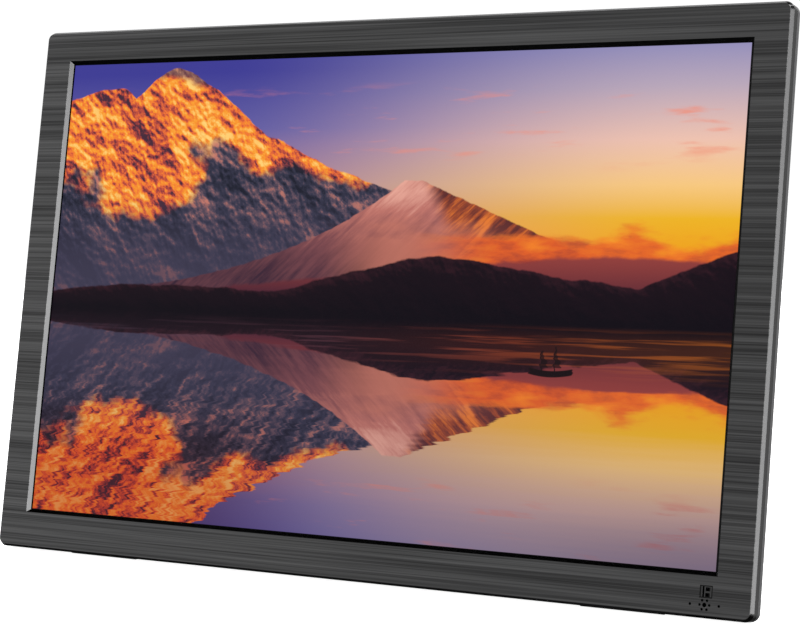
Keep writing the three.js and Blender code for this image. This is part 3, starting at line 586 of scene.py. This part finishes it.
def display_picture():
    """The lit display: a sunset inside a thin black margin."""
    surface = Surface("display")
    x, depth, z = surface.split(surface.place())
    across = (x + ACTIVE_W / 2) / ACTIVE_W
    up = (z - WINDOW_BOTTOM - (WINDOW_H - ACTIVE_H) / 2) / ACTIVE_W
    picture = Lake(surface, across, up).paint()
    tall = ACTIVE_H / ACTIVE_W
    inside = (0.5 - (across - 0.5).abs()).step(0.0, 0.0004)
    inside = inside * (tall / 2 - (up - tall / 2).abs()).step(0.0, 0.0004)
    inside = inside * (DISPLAY_FRONT + 0.2 * MM - depth).step(0.0, 0.1 * MM)
    return surface.set(
        Base_Color=srgb(4, 4, 5),
        Roughness=0.28,
        Specular_IOR_Level=0.2,
        Emission_Color=surface.mix(inside, (0.0, 0.0, 0.0), picture),
        Emission_Strength=1.0,
    )


MATERIALS = {
    "brushed_metal": brushed_metal(),
    "smoked_window": smoked_window(),
    "display": display_picture(),
    "black_plastic": moulded_plastic("black_plastic", srgb(40, 40, 42), roughness=0.4),
    "module_frame": moulded_plastic("module_frame", srgb(20, 20, 21)),
    "film": optical_film("film", srgb(232, 236, 238), 0.3),
    "light_guide": optical_film("light_guide", srgb(222, 232, 236), 0.1),
    "reflector": optical_film("reflector", srgb(242, 242, 240), 0.5),
    "steel": sheet_metal("steel", srgb(176, 178, 180)),
    "aluminium": sheet_metal("aluminium", srgb(190, 192, 195), 0.4),
    "circuit_board": circuit_board(),
    "ribbon": moulded_plastic("ribbon", srgb(214, 210, 196), roughness=0.4),
    "connector": moulded_plastic("connector", srgb(26, 26, 27), roughness=0.45),
    "speaker": moulded_plastic("speaker", srgb(34, 34, 35), grain=0.8 * MM, roughness=0.7),
    "key_print": moulded_plastic("key_print", srgb(150, 150, 152), depth=0.01 * MM, roughness=0.5),
    "rubber": rubber(),
    "key_plastic": moulded_plastic("key_plastic", srgb(36, 36, 38), roughness=0.4),
    "black_screw": sheet_metal("black_screw", srgb(46, 46, 48), 0.35),
}


# ---------------------------------------------------------------- CAD nodes
def soften(piece, width):
    """Small rounds on a faceted solid's edges, so that they catch the light as real edges do."""
    weld = piece.modifiers.new("weld", "WELD")
    weld.merge_threshold = 1e-6
    flatten = piece.modifiers.new("flatten", "DECIMATE")
    flatten.decimate_type = "DISSOLVE"
    flatten.angle_limit = math.radians(1)
    bevel = piece.modifiers.new("bevel", "BEVEL")
    bevel.width = width
    bevel.segments = 2
    bevel.limit_method = "ANGLE"
    bevel.angle_limit = math.radians(28)
    bevel.use_clamp_overlap = True
    normals = piece.modifiers.new("normals", "WEIGHTED_NORMAL")
    normals.keep_sharp = False
    normals.weight = 100


for entry in frame["record"]["subparts"]:
    node = nodes[entry["node"]]
    node.data.materials.clear()
    node.data.materials.append(MATERIALS[entry["material_slot"]])
    node.data.shade_smooth()
    widths = [width for start, width in SOFT_EDGES.items() if entry["node"].startswith(start)]
    soften(node, widths[0] if widths else SOFT_EDGE)


# ---------------------------------------------------------------- symbols on the keys
def disc(radius, sides=20):
    turn = 2 * math.pi / sides
    return [(radius * math.cos(i * turn), radius * math.sin(i * turn)) for i in range(sides)]


def arc(radius, width, gap, steps=24):
    """A ring of this width, in mm, with an opening of gap degrees at its top."""
    angles = [math.radians(90 + gap / 2 + (360 - gap) * i / steps) for i in range(steps + 1)]
    outer = [((radius + width / 2) * math.cos(a), (radius + width / 2) * math.sin(a)) for a in angles]
    inner = [((radius - width / 2) * math.cos(a), (radius - width / 2) * math.sin(a)) for a in angles]
    return outer + inner[::-1]


def bar(width, height, level=0.0):
    w, h = width / 2, height / 2
    return [(-w, level - h), (w, level - h), (w, level + h), (-w, level + h)]


def arrow(turn):
    """A triangle that points up, turned by this many quarter turns to the left."""
    corners = [(-1.25, -0.8), (1.25, -0.8), (0.0, 1.3)]
    cosine, sine = math.cos(turn * math.pi / 2), math.sin(turn * math.pi / 2)
    return [(u * cosine - v * sine, u * sine + v * cosine) for u, v in corners]


KEY_SYMBOLS = {
    "ok": [disc(1.0)],
    "down": [arrow(2)],
    "right": [arrow(3)],
    "left": [arrow(1)],
    "up": [arrow(0)],
    "menu": [bar(2.8, 0.42, level) for level in (-0.9, 0, 0.9)],
    "power": [arc(1.15, 0.36, 80), bar(0.36, 1.5, 0.95)],
}


def cap_middle(key):
    """The middle of a key's outer face, in the panel's own axes."""
    points = [PANEL_TO_WORLD.inverted() @ vertex.co for vertex in key.data.vertices]
    top = max(point.y for point in points)
    rim = [point for point in points if point.y > top - 0.01 * MM]
    x = (min(point.x for point in rim) + max(point.x for point in rim)) / 2
    z = (min(point.z for point in rim) + max(point.z for point in rim)) / 2
    return Vector((x, top, z))


def key_symbol(name, outlines):
    """Raised print on a key's cap. The outlines are in mm, as seen from behind the frame."""
    middle = cap_middle(nodes[f"button_{name}"])
    out = PANEL_TO_WORLD.to_3x3() @ Vector((0, PRINT_HEIGHT, 0))
    mesh = bmesh.new()
    for outline in outlines:
        corners = [PANEL_TO_WORLD @ (middle + Vector((-u * MM, 0, v * MM))) for u, v in outline]
        face = mesh.faces.new([mesh.verts.new(corner) for corner in corners])
        raised = bmesh.ops.extrude_face_region(mesh, geom=[face])["geom"]
        moved = [item for item in raised if isinstance(item, bmesh.types.BMVert)]
        bmesh.ops.translate(mesh, vec=out, verts=moved)
    bmesh.ops.recalc_face_normals(mesh, faces=mesh.faces)
    data = bpy.data.meshes.new(f"symbol_{name}")
    mesh.to_mesh(data)
    mesh.free()
    data.materials.append(MATERIALS["key_print"])
    piece = bpy.data.objects.new(f"symbol_{name}", data)
    bpy.context.scene.collection.objects.link(piece)
    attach(piece, f"button_{name}")


for key_name, key_outlines in KEY_SYMBOLS.items():
    key_symbol(key_name, key_outlines)


# ---------------------------------------------------------------- camera, light and floor
def add_camera():
    """At the photograph's viewing angle: to the right of the frame, a little below its middle."""
    data = bpy.data.cameras.new("camera")
    data.sensor_width = CAMERA_SENSOR
    data.lens = CAMERA_LENS
    camera = bpy.data.objects.new("camera", data)
    bpy.context.scene.collection.objects.link(camera)
    camera.location = PANEL_TO_WORLD @ (Vector(CAMERA_PLACE) + Vector((0, 0, PANEL_H / 2)))
    forward = PANEL_TO_WORLD.to_3x3() @ -Vector(CAMERA_BACKWARD)
    camera.rotation_mode = "QUATERNION"
    camera.rotation_quaternion = forward.to_track_quat("-Z", "Y") @ Quaternion((0, 0, 1), CAMERA_ROLL)
    bpy.context.scene.camera = camera


def area_light(name, place, size, power, reflected):
    """A soft lamp. An unreflected one lights matt surfaces and shows in no gloss."""
    data = bpy.data.lights.new(name, "AREA")
    data.shape = "RECTANGLE"
    data.size, data.size_y = size
    data.energy = power
    light = bpy.data.objects.new(name, data)
    bpy.context.scene.collection.objects.link(light)
    light.location = place
    light.rotation_mode = "QUATERNION"
    light.rotation_quaternion = (LAMP_TARGET - light.location).to_track_quat("-Z", "Y")
    light.visible_glossy = reflected


def add_floor():
    """A white table, bright enough to meet the white room with no edge between them."""
    mesh = bpy.data.meshes.new("floor")
    corners = [(x * FLOOR_REACH, y * FLOOR_REACH, 0) for x, y in ((-1, -1), (1, -1), (1, 1), (-1, 1))]
    mesh.from_pydata(corners, [], [(0, 1, 2, 3)])
    floor = bpy.data.objects.new("floor", mesh)
    bpy.context.scene.collection.objects.link(floor)
    surface = Surface("floor")
    grain = surface.noise(surface.place(), 300, detail=2)
    surface.set(
        Base_Color=surface.mix(grain, (0.80, 0.80, 0.80), (0.84, 0.84, 0.84)),
        Roughness=0.9,
        Emission_Color=(1.0, 1.0, 1.0),
        Emission_Strength=0.95,
    )
    mesh.materials.append(surface.material)
    floor.visible_glossy = False


def add_world():
    """A room that is white to the camera. Gloss shows it dim in front, brighter at the far left and
    behind, and black overhead and below. The black overhead comes lower on the right."""
    world = bpy.data.worlds.new("studio")
    bpy.context.scene.world = world
    world.use_nodes = True
    tree = world.node_tree
    direction = tree.nodes.new("ShaderNodeTexCoord")
    split = tree.nodes.new("ShaderNodeSeparateXYZ")
    tree.links.new(direction.outputs["Generated"], split.inputs[0])
    x, y, z = [Field(tree, output) for output in split.outputs]
    front = 0.17 + (x * -1.0).step(0.45, 0.95) * 0.2
    behind = y.step(0.1, 0.5) * 0.7
    above = (0.75 - x.step(0.0, 0.5) * 0.3 - z).step(0.0, 0.15)
    below = z.step(-0.5, -0.25) * 0.96 + 0.04
    room = (front + behind) * above * below
    seen = tree.nodes.new("ShaderNodeLightPath")
    white = Field(tree, seen.outputs["Is Camera Ray"]) * 1.05
    background = tree.nodes["Background"]
    background.inputs["Color"].default_value = (1, 1, 1, 1)
    tree.links.new(room.max(white).socket, background.inputs["Strength"])


nodes["lcd_cell"].visible_glossy = False  # its glow would colour the window's bevels

add_camera()
add_floor()
add_world()
for lamp in LAMPS:
    area_light(*lamp)
bpy.context.scene.view_settings.view_transform = "Standard"
